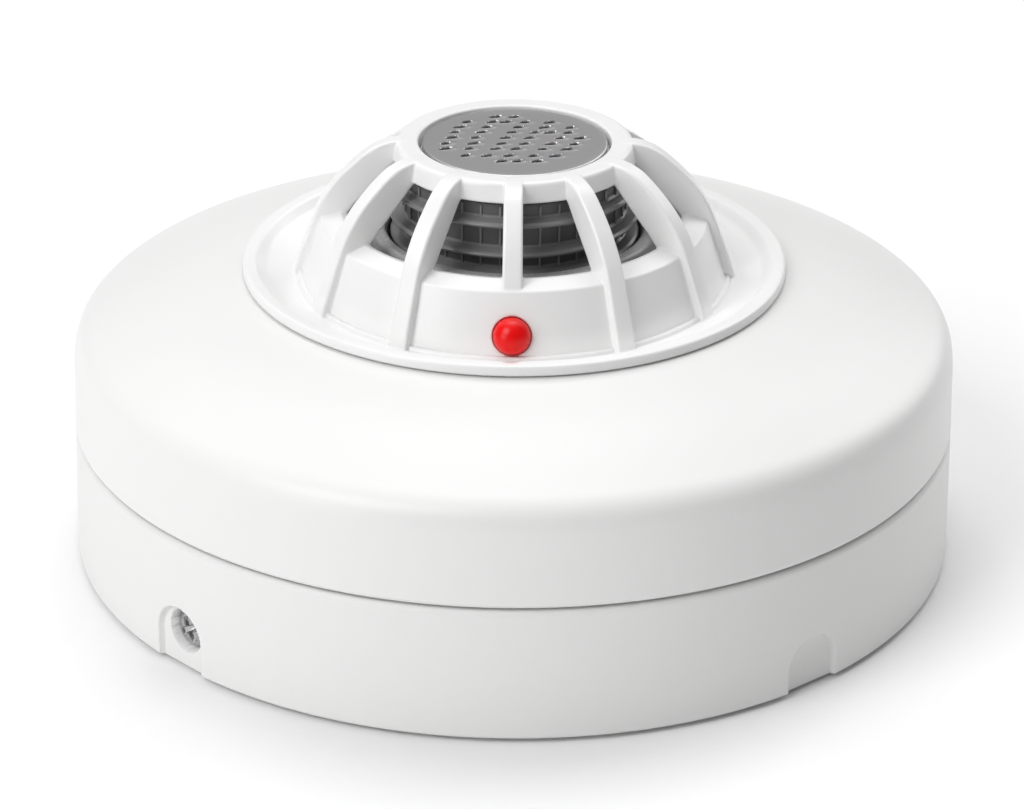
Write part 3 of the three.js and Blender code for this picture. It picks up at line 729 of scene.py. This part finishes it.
# ------------------------------------------------------------- outer cover
def make_cover():
    outer_side = fillet([(50.2, 16.05, 0.15), (52.3, 16.05, 0.3), (52.62, 16.5, 0.4)], steps=4, closed=False)
    shoulder = [(52.52, 19.0), (52.46, 21.0), (52.42, 23.0), (52.36, 24.4), (52.2, 25.5), (51.9, 26.4),
                (51.45, 27.1), (50.85, 27.65), (50.1, 28.1), (49.2, 28.5), (48.0, 29.02),
                (46.5, 29.66), (45.0, 30.27), (43.0, 31.02), (41.0, 31.68), (39.0, 32.24), (37.0, 32.74),
                (35.0, 33.2), (33.4, 33.6)]
    rim = fillet([(33.4, 33.6), (32.3, 33.95, 0.3), (31.3, 34.0, 0.3), (31.25, 31.95, 0.2), (33.0, 31.7)], steps=4, closed=False)
    inner = [(37.0, 30.7), (41.0, 29.5), (45.0, 28.0), (48.0, 26.7), (49.3, 25.7), (50.0, 24.4), (50.15, 22.0)]
    profile = outer_side + spline(shoulder, per=3)[:-1] + rim + inner
    profile = split_long(profile, 1.6)
    cover = lathe("cover", profile, 256)
    pillars, bores = [], []
    for a in (0, 120, 240):
        dx, dy = azimuth_dir(a)
        for r, z0, z1, group in ((3.2, 15.2, 30.2, pillars), (1.8, 15.0, 23.0, bores)):
            v, f = lathe_data([(0, z0), (r, z0), (r, z1), (0, z1)], 40, closed=False)
            v = v + np.array((41 * dx, 41 * dy, 0))
            group.append(new_object("tool", v, f))
    boolean(cover, pillars, "UNION")
    boolean(cover, bores, "DIFFERENCE")
    sharp_by_angle(cover, 35)
    weighted(cover)
    return cover


# ----------------------------------------------------------- mounting base
BASE_PROFILE_SIDE = fillet([
    (48.0, 0.0), (52.9, 0.0, 0.45), (52.62, 15.95, 0.85), (49.95, 15.95, 0.3), (49.8, 9.0),
], steps=7, closed=False)


def wall_radius(z):
    """Outer radius of the wall at height z, below the rounded top edge."""
    z = np.asarray(z, float)
    r = 52.9 - 0.28 * z / 15.95
    low = np.clip((0.45 - z) / 0.45, 0, 1)
    return r - 0.45 * (1 - np.sqrt(np.maximum(0, 1 - low ** 2)))


def smoothstep(x, lo, hi):
    t = np.clip((x - lo) / (hi - lo), 0, 1)
    return t * t * (3 - 2 * t)


def arch_distance(t, z, width, top):
    r = width / 2
    zc = top - r
    round_part = np.sqrt(t * t + (z - zc) ** 2) - r
    return np.where(z > zc, round_part, np.abs(t) - r)


def make_base():
    fine = 0.14
    # azimuths, in degrees, refined round the two recesses
    az = list(np.arange(0, 360, 360 / 256))
    for centre in (-45.0, 40.0):
        lo, hi = centre - 5.2, centre + 5.2
        az = [a for a in az if not (lo % 360 <= a <= hi % 360)]
        az += list(np.arange(lo, hi + 1e-6, fine / 0.92) % 360)
    az = np.unique(np.round(np.array(az), 5))
    az = np.sort(az)[::-1]                  # so that the angle about Z grows
    az_rad = np.radians(az)
    z_low = np.concatenate([np.array([0.0, 0.03, 0.08, 0.15, 0.25, 0.36]), np.arange(0.5, 9.0, fine)])
    z_mid = np.arange(9.4, 14.0, 1.1)
    levels = np.concatenate([z_low, z_mid])
    outer = []
    for z in levels:
        outer.append((wall_radius(z), z))
    top = fillet([(52.64, 14.4), (52.62, 15.7, 0.85), (49.95, 15.7, 0.3), (49.8, 9.0)], steps=8, closed=False)
    inner = [(49.8, 5.5), (49.75, 2.4), (40.0, 2.4), (30.0, 2.4), (20.0, 2.4)]
    hole = fillet([(14.0, 2.4), (11.0, 2.4, 0.3), (11.0, 0.0, 0.3), (14.0, 0.0)], steps=4, closed=False)
    back = [(22.0, 0.0), (32.0, 0.0), (42.0, 0.0), (49.0, 0.0), (51.0, 0.0)]
    profile = outer + top[1:] + inner + hole + back
    thetas = np.mod(math.pi / 2 * 3 + az_rad, 2 * math.pi)   # azimuth 0 is -Y
    thetas = 1.5 * math.pi + az_rad
    rows = []
    verts = []
    for i, (r, z) in enumerate(profile):
        radius = np.full(len(az), float(r))
        if i < len(levels):
            for centre, width, height, floor in ((-45.5, 7.3, 7.4, 52.05), (39.9, 7.3, 6.3, 51.95)):
                d = (az - centre + 180) % 360 - 180
                t = np.radians(d) * 52.9
                s = smoothstep(-arch_distance(t, z, width, height), -0.06, 0.17)
                target = np.minimum(radius, floor / np.cos(np.radians(np.clip(d, -20, 20))))
                radius = radius + (target - radius) * s
            d = (az + 45.0 + 180) % 360 - 180
            t = np.radians(d) * 52.0
            hole_d = np.sqrt(t * t + (z - 4.5) ** 2) - 2.62
            s = smoothstep(-hole_d, -0.04, 0.16)
            radius = radius + (49.45 - radius) * s
        rows.append(list(range(len(verts), len(verts) + len(az))))
        for rad_, th in zip(radius, thetas):
            verts.append((rad_ * math.cos(th), rad_ * math.sin(th), z))
    faces = []
    n = len(profile)
    m = len(az)
    for i in range(n):
        a, b = rows[i], rows[(i + 1) % n]
        for j in range(m):
            k = (j + 1) % m
            faces.append([a[j], a[k], b[k], b[j]])
    verts = np.array(verts)
    if volume_of(verts, faces) < 0:
        faces = [f[::-1] for f in faces]
    base = new_object("base", verts, faces)
    # inner features from the CAD solid, inside the wall and above the plate
    inner_cad = cad_copy("mounting_base")
    v, f = lathe_data([(0, 2.0), (49.95, 2.0), (49.95, 13.0), (0, 13.0)], 128, closed=False)
    boolean(inner_cad, [new_object("tool", v, f)], "INTERSECT")
    boolean(base, [inner_cad], "UNION")
    slots = []
    for a in (90, 270):
        half, r = (11 - 4.6) / 2, 2.3
        outline = [(30 + r * math.cos(math.pi * i / 20), half + r * math.sin(math.pi * i / 20)) for i in range(21)]
        outline += [(30 + r * math.cos(math.pi + math.pi * i / 20), -half + r * math.sin(math.pi + math.pi * i / 20)) for i in range(21)]
        slots.append(station(prism("tool", outline, -1.0, 3.4), a))
    boolean(base, slots, "DIFFERENCE")
    sharp_by_angle(base, 40)
    weighted(base)
    return base


# ---------------------------------------------------------------- top cap
SLOTS = [
    (8.1, [-2.3, -0.1]),
    (6.35, [-5.65, -2.65, -1.1, 1.25, 4.15]),
    (4.65, [-6.44, -3.3, 0.43, 3.5, 6.5]),
    (2.95, [-7.04, -3.9, -0.3, 2.35, 4.1, 6.3]),
    (1.15, [-7.37, -4.6, -1.0, 1.7, 5.3, 7.6]),
    (-0.75, [-8.04, -4.83, -1.5, 1.15, 4.2, 6.95]),
    (-2.4, [-8.0, -5.3, -2.2, 0.2, 3.3, 6.1]),
    (-4.6, [-5.67, -3.2, -0.7, 2.2, 4.7]),
    (-6.3, [-1.5, 0.3, 2.6]),
]


def cap_height(x, y):
    r = np.hypot(x, y)
    z = 49.66 - 0.04 * (r / 10.4) ** 2
    for yc, xs in SLOTS:
        for n, xc in enumerate(xs):
            wide = 0.70 + 0.09 * math.sin(2.3 * n + 1.7 * yc)
            dx, dy = x - xc, y - yc
            near = (np.abs(dx) < 1.8) & (np.abs(dy) < 1.5)
            if not np.any(near):
                continue
            # lanced louvre: an oval slit with a small lip raised beside and in front of it
            slit_d = np.sqrt((dx / wide) ** 2 + ((dy - 0.42 * dx) / 0.40) ** 2) - 1.0
            slit = smoothstep(-slit_d * 0.40, -0.02, 0.08)
            lip = np.exp(-(((dx - wide - 0.16) / 0.34) ** 2)) * np.exp(-(((dy + 0.05) / 0.36) ** 2))
            brow = np.exp(-((dx / wide) ** 4)) * np.exp(-(((dy + 0.52) / 0.17) ** 2))
            z = np.where(near, z + (0.06 * lip + 0.03 * brow) * (1 - slit) - 1.1 * slit, z)
    return z


def make_cap():
    step = 0.10
    rings = np.concatenate([[0.0], np.arange(step, 9.6, step), [9.75, 9.95, 10.15, 10.3]])
    seg = 512
    th = np.linspace(0, 2 * math.pi, seg, endpoint=False)
    verts = [(0.0, 0.0, float(cap_height(np.array([0.0]), np.array([0.0]))[0]))]
    rows = [[0] * seg]
    for r in rings[1:]:
        x, y = r * np.cos(th), r * np.sin(th)
        z = cap_height(x, y)
        rows.append(list(range(len(verts), len(verts) + seg)))
        verts += list(zip(x, y, z))
    edge = fillet([(10.4, 49.61), (10.85, 49.60, 0.2), (10.85, 48.65, 0.1), (10.5, 48.65, 0.1), (10.4, 49.1, 0.1),
                   (9.0, 49.1), (9.0, 48.4), (0.0, 48.4)], steps=6, closed=False)[1:]
    for r, z in edge:
        if r < 1e-6:
            rows.append([len(verts)] * seg)
            verts.append((0.0, 0.0, z))
        else:
            rows.append(list(range(len(verts), len(verts) + seg)))
            verts += [(r * math.cos(t), r * math.sin(t), z) for t in th]
    faces = []
    for a, b in zip(rows[:-1], rows[1:]):
        for j in range(seg):
            k = (j + 1) % seg
            g = []
            for v in (a[j], b[j], b[k], a[k]):
                if v not in g:
                    g.append(v)
            if len(g) >= 3:
                faces.append(g)
    verts = np.array(verts)
    if volume_of(verts, faces) < 0:
        faces = [f[::-1] for f in faces]
    cap = new_object("cap", verts, faces)
    sharp_by_angle(cap, 50)
    return cap


# ------------------------------------------------ basket, seat, indicator
def join_data(parts):
    verts, faces, base = [], [], 0
    for v, f in parts:
        verts.append(np.asarray(v, float))
        faces += [[i + base for i in q] for q in f]
        base += len(v)
    return np.concatenate(verts), faces


def bar_data(r0, r1, half, z0, z1, theta, edge=0.06):
    """A small upright bar with chamfered edges, at angle theta."""
    outline = [(r0, -half), (r1 - edge, -half), (r1, -half + edge), (r1, half - edge), (r1 - edge, half), (r0, half)]
    c, s = math.cos(theta), math.sin(theta)
    v = [(x * c - y * s, x * s + y * c, z) for z in (z0, z1) for x, y in outline]
    n = len(outline)
    f = [list(range(n))[::-1], list(range(n, 2 * n))]
    f += [[i, (i + 1) % n, n + (i + 1) % n, n + i] for i in range(n)]
    v = np.array(v)
    if volume_of(v, f) < 0:
        f = [q[::-1] for q in f]
    return v, f


def make_basket():
    parts = []
    seg = 180
    for z, reach in ((38.75, 14.75), (41.3, 14.85), (44.9, 14.75)):
        shelf = fillet([(12.9, z - 0.42, 0.1), (reach - 0.25, z - 0.38, 0.12), (reach, z - 0.05, 0.22),
                        (reach - 0.45, z + 0.22, 0.3), (13.35, z + 0.42, 0.35), (13.02, z + 0.75, 0.2), (12.9, z + 0.75)], steps=4)
        parts.append(lathe_data(shelf, seg))
    wall = fillet([(12.6, 34.9), (14.6, 34.9, 0.2), (14.6, 35.6, 0.2), (13.05, 35.7, 0.2), (13.05, 46.95, 0.2),
                   (4.0, 47.0, 0.1), (4.0, 46.5, 0.1), (12.6, 46.5, 0.2)], steps=3)
    parts.append(lathe_data(split_long(wall, 2.0), seg))
    count = 36
    for i in range(count):
        theta = math.radians(3.0 + 10.0 * i - 90.0)
        parts.append(bar_data(12.8, 13.28, 0.13, 35.2, 46.7, theta))
    v, f = join_data(parts)
    basket = new_object("basket", v, f)
    sharp_by_angle(basket, 40)
    return basket


def make_seat():
    profile = fillet([
        (5.4, 33.1, 0.2), (18.2, 33.1, 0.3), (17.45, 37.6, 1.6), (16.75, 39.45, 0.75), (15.35, 39.45, 0.5),
        (15.0, 38.6, 0.3), (14.95, 34.6, 0.4), (5.4, 34.6, 0.2),
    ], steps=8)
    seat = lathe("seat", split_long(profile, 1.5), 128)
    sharp_by_angle(seat, 40)
    weighted(seat)
    return seat


def make_led():
    nose = []
    for i in range(13):
        a = math.pi / 2 * i / 12
        nose.append((LED_R * math.cos(a), 0.05 + 2.0 * math.sin(a)))
    nose[-1] = (0.0, nose[-1][1])
    body = fillet([(0.0, -4.4), (2.6, -4.4, 0.15), (2.6, -3.5, 0.15), (LED_R, -3.5, 0.1), (LED_R, -1.0)], steps=4, closed=False)
    profile = body + nose
    verts, faces = lathe_data(profile, 96, closed=False)
    m = np.array(Matrix.Rotation(math.pi / 2 - LED_TILT, 3, "X"))
    turn = np.array(Matrix.Rotation(CAGE_TURN, 3, "Z"))
    verts = (verts @ m.T + LED_FOOT) @ turn.T
    led = new_object("indicator", verts, faces)
    sharp_by_angle(led, 45)
    return led


# ----------------------------------------------------------- locking screw
def make_screw():
    """Pan head with a cross recess. Made along +Z, then laid outwards at its azimuth."""
    seg = 160
    th = np.linspace(0, 2 * math.pi, seg, endpoint=False)
    rings = np.concatenate([[0.0], np.arange(0.05, 1.95, 0.05)])

    def top(x, y):
        r2 = x * x + y * y
        z = 1.95 - 0.09 * r2
        width = 0.42
        arm = 1.5
        d1 = np.maximum(np.abs(y) - width, np.abs(x) - arm)
        d2 = np.maximum(np.abs(x) - width, np.abs(y) - arm)
        d = np.minimum(d1, d2)
        s = smoothstep(-d, -0.05, 0.13)
        taper = np.clip(1.0 - np.sqrt(r2) / 1.9, 0.15, 1)
        return z - 1.15 * s * taper

    verts = [(0.0, 0.0, float(top(0.0, 0.0)))]
    rows = [[0] * seg]
    for r in rings[1:]:
        x, y = r * np.cos(th), r * np.sin(th)
        rows.append(list(range(len(verts), len(verts) + seg)))
        verts += list(zip(x, y, top(x, y)))
    edge = fillet([(1.95, 1.61), (2.2, 1.35, 0.3), (2.2, 0.0, 0.08), (1.45, 0.0), (1.45, -6.95, 0.3), (0.0, -7.1)], steps=4, closed=False)
    for r, z in edge:
        if r < 1e-6:
            rows.append([len(verts)] * seg)
            verts.append((0.0, 0.0, z))
        else:
            rows.append(list(range(len(verts), len(verts) + seg)))
            verts += [(r * math.cos(t), r * math.sin(t), z) for t in th]
    faces = []
    for a, b in zip(rows[:-1], rows[1:]):
        for j in range(seg):
            k = (j + 1) % seg
            g = []
            for v in (a[j], b[j], b[k], a[k]):
                if v not in g:
                    g.append(v)
            if len(g) >= 3:
                faces.append(g)
    verts = np.array(verts)
    if volume_of(verts, faces) < 0:
        faces = [f[::-1] for f in faces]
    # turn the cross as it stands, lay the axis outwards, move to its place
    spin = np.array(Matrix.Rotation(math.radians(30), 3, "Z"))
    lay = np.array(Matrix.Rotation(math.pi / 2, 3, "Y"))
    verts = verts @ spin.T @ lay.T + np.array((49.75, 0.0, 4.5))
    screw = new_object("lock_screw", verts, faces)
    station(screw, -45)
    sharp_by_angle(screw, 40)
    return screw


# ------------------------------------------------------------- the pieces
finish_piece(make_cover(), "head", MAT_COVER, ["outer_cover"])
finish_piece(make_base(), "base", MAT_BASE, ["mounting_base"])
finish_piece(make_cage(), "head", MAT_CAGE, ["sensor_cage"])
finish_piece(make_cap(), "head", MAT_CAP, ["top_cap"])
finish_piece(make_basket(), "head", MAT_BASKET, ["mesh_basket"])
finish_piece(make_seat(), "head", MAT_SEAT, ["basket_seat"])
finish_piece(make_led(), "head", MAT_LED, ["indicator_led"])
finish_piece(make_screw(), "locking_screw", MAT_SCREW, ["locking_screw"])

INNER = {
    "head_chassis": MAT_NATURAL,
    "seal_ring": MAT_RUBBER,
    "thermistor_post": MAT_NATURAL,
    "sensing_thermistor": MAT_BEAD,
    "reference_thermistor": MAT_BEAD,
    "circuit_board": MAT_BOARD,
    "comparator_chip": MAT_BLACK,
    "bridge_rectifier": MAT_BLACK,
    "alarm_thyristor": MAT_BLACK,
    "smoothing_capacitor": MAT_CAN,
    "led_leg_anode": MAT_STEEL,
    "led_leg_cathode": MAT_STEEL,
    "lock_screw_nut": MAT_STEEL,
}
for i in range(1, 5):
    INNER[f"base_contact_{i}"] = MAT_BRASS
    INNER[f"blade_contact_{i}"] = MAT_BRASS
    INNER[f"wire_clamp_{i}"] = MAT_STEEL
    INNER[f"terminal_screw_{i}"] = MAT_STEEL
for i in range(1, 4):
    INNER[f"chassis_screw_{i}"] = MAT_STEEL
for name, mat in INNER.items():
    obj = nodes[name]
    obj.data.materials.clear()
    obj.data.materials.append(mat)
    mod = obj.modifiers.new("edges", "BEVEL")
    mod.width = 0.00012
    mod.segments = 2
    mod.limit_method = "ANGLE"
    mod.angle_limit = math.radians(50)
    mod.harden_normals = False
    obj.modifiers.new("normals", "WEIGHTED_NORMAL")


# ------------------------------------------------------------------- stage
def make_floor():
    size = 6.0
    v = [(-size, -size, 0), (size, -size, 0), (size, size, 0), (-size, size, 0)]
    mesh = bpy.data.meshes.new("floor")
    mesh.from_pydata(v, [], [[0, 1, 2, 3]])
    obj = bpy.data.objects.new("floor", mesh)
    scene.collection.objects.link(obj)
    mat, bsdf = material("floor_white", (0.93, 0.93, 0.93), 0.6, spec=0.3)
    obj.data.materials.append(mat)
    obj.location.z = -0.0005
    return obj


def area_light(name, place, target, size, power, colour=(1, 1, 1), size_y=None):
    data = bpy.data.lights.new(name, "AREA")
    data.energy = power
    data.color = colour
    data.shape = "RECTANGLE" if size_y else "SQUARE"
    data.size = size
    if size_y:
        data.size_y = size_y
    obj = bpy.data.objects.new(name, data)
    obj.location = Vector(place)
    direction = Vector(target) - Vector(place)
    obj.rotation_euler = direction.to_track_quat("-Z", "Y").to_euler()
    scene.collection.objects.link(obj)
    return obj


make_floor()
world = bpy.data.worlds.new("studio")
scene.world = world
world.use_nodes = True
world.node_tree.nodes["Background"].inputs["Color"].default_value = (1, 1, 1, 1)
world.node_tree.nodes["Background"].inputs["Strength"].default_value = 0.216
area_light("over", (0.0, 0.0, 1.2), (0, 0, 0.02), 1.0, 1.89, size_y=1.0)
area_light("over_back", (0.0, 0.4, 1.15), (0, 0, 0.02), 0.6, 4.2, size_y=0.6)
area_light("over_left", (-0.55, 0.5, 0.95), (0, 0, 0.02), 0.6, 1.36, size_y=0.6)
area_light("over_right", (0.55, 0.5, 0.95), (0, 0, 0.02), 0.6, 1.8, size_y=0.6)
area_light("low_left", (-0.95, -0.8, 0.28), (0, 0, 0.02), 0.6, 2.33, size_y=0.4)
area_light("key", (-0.7, -0.6, 0.9), (0, 0, 0.02), 0.7, 7.42, size_y=0.7)
area_light("back_right", (0.8, 0.8, 0.6), (0, 0, 0.02), 0.7, 2.85, size_y=0.7)
scene.view_settings.view_transform = "Standard"
scene.view_settings.look = "None"
